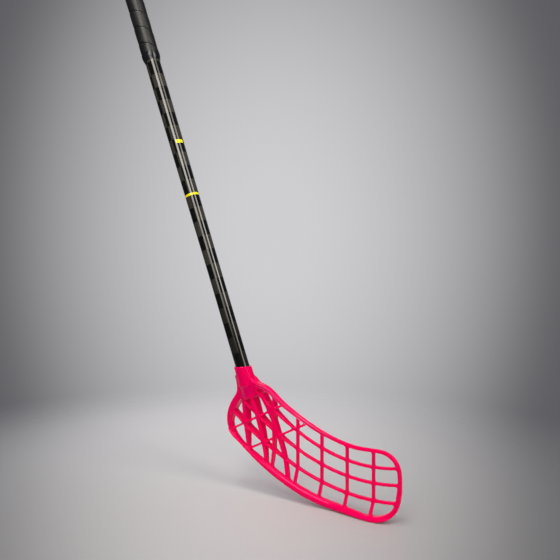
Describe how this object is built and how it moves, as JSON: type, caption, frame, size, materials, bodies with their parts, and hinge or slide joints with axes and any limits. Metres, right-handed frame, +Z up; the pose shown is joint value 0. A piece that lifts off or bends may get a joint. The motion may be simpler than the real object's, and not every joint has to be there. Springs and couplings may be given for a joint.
{
  "type": "floorball stick",
  "caption": "Floorball stick: hooked open-lattice plastic blade on a slim tapered carbon shaft, with a cushioned strip wound round the grip and a plug in its end.",
  "frame": {"origin": "middle of the box, at the surface that the blade's sole stands on", "axes": "+Z up, +X from the heel to the toe of the blade, the blade's forehand face towards -Y; the shaft leans towards -X"},
  "size_m": [0.5674, 0.0384, 1.0176],
  "materials": {
    "shaft": "clear-coated woven carbon fibre in dark checks",
    "grip_wrap": "matte cushioned polyurethane strip",
    "grip_end_tape": "glossy stretched vinyl tape",
    "end_cap": "matte black rubber",
    "blade": "glossy hot pink moulded polyethylene",
    "blade_screw": "zinc-plated steel"
  },
  "bodies": {
    "root": {"shaft": "shaft", "grip_wrap": "grip_wrap", "grip_end_tape": "grip_end_tape", "end_cap": "end_cap", "blade": "blade", "blade_screw": "blade_screw"}
  },
  "joints": []
}
